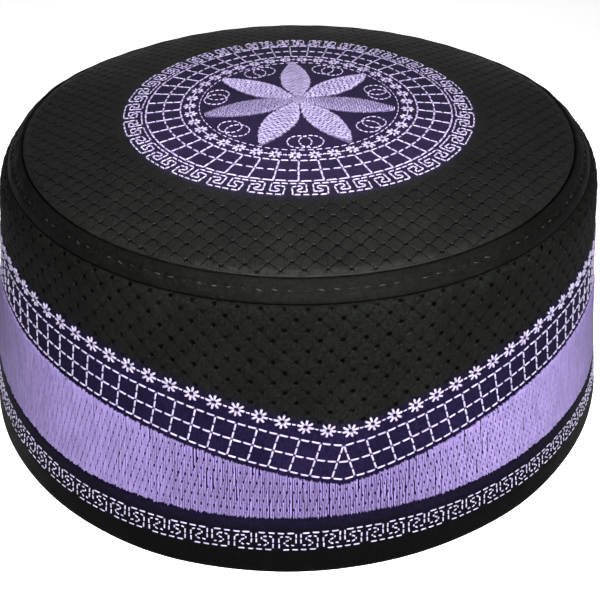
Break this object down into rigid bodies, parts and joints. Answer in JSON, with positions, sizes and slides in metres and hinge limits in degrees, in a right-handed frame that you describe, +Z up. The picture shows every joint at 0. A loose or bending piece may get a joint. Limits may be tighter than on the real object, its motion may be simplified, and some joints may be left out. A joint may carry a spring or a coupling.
{
  "type": "kufi cap",
  "caption": "Soft round brimless cap with a quilted crown and wall, a rolled crown edge, a raised satin-stitched band with a wavy top, a plain hem and a petal rosette.",
  "frame": {"origin": "centre of the rim, on the surface the cap stands on", "axes": "+Z up through the crown, -Y towards the front of the cap, +X to the right as seen from the front"},
  "size_m": [0.1971, 0.184, 0.0886],
  "materials": {
    "quilted_cloth": "black cotton, quilted in small diamonds",
    "plain_cloth": "plain black cotton, folded and stitched",
    "embroidery_thread": "lavender rayon embroidery thread with a soft sheen"
  },
  "bodies": {
    "root": {"crown": "quilted_cloth", "crown_roll": "plain_cloth", "side_wall": "quilted_cloth", "hem_band": "plain_cloth", "satin_band": "embroidery_thread", "crown_rosette": "embroidery_thread"}
  },
  "joints": []
}
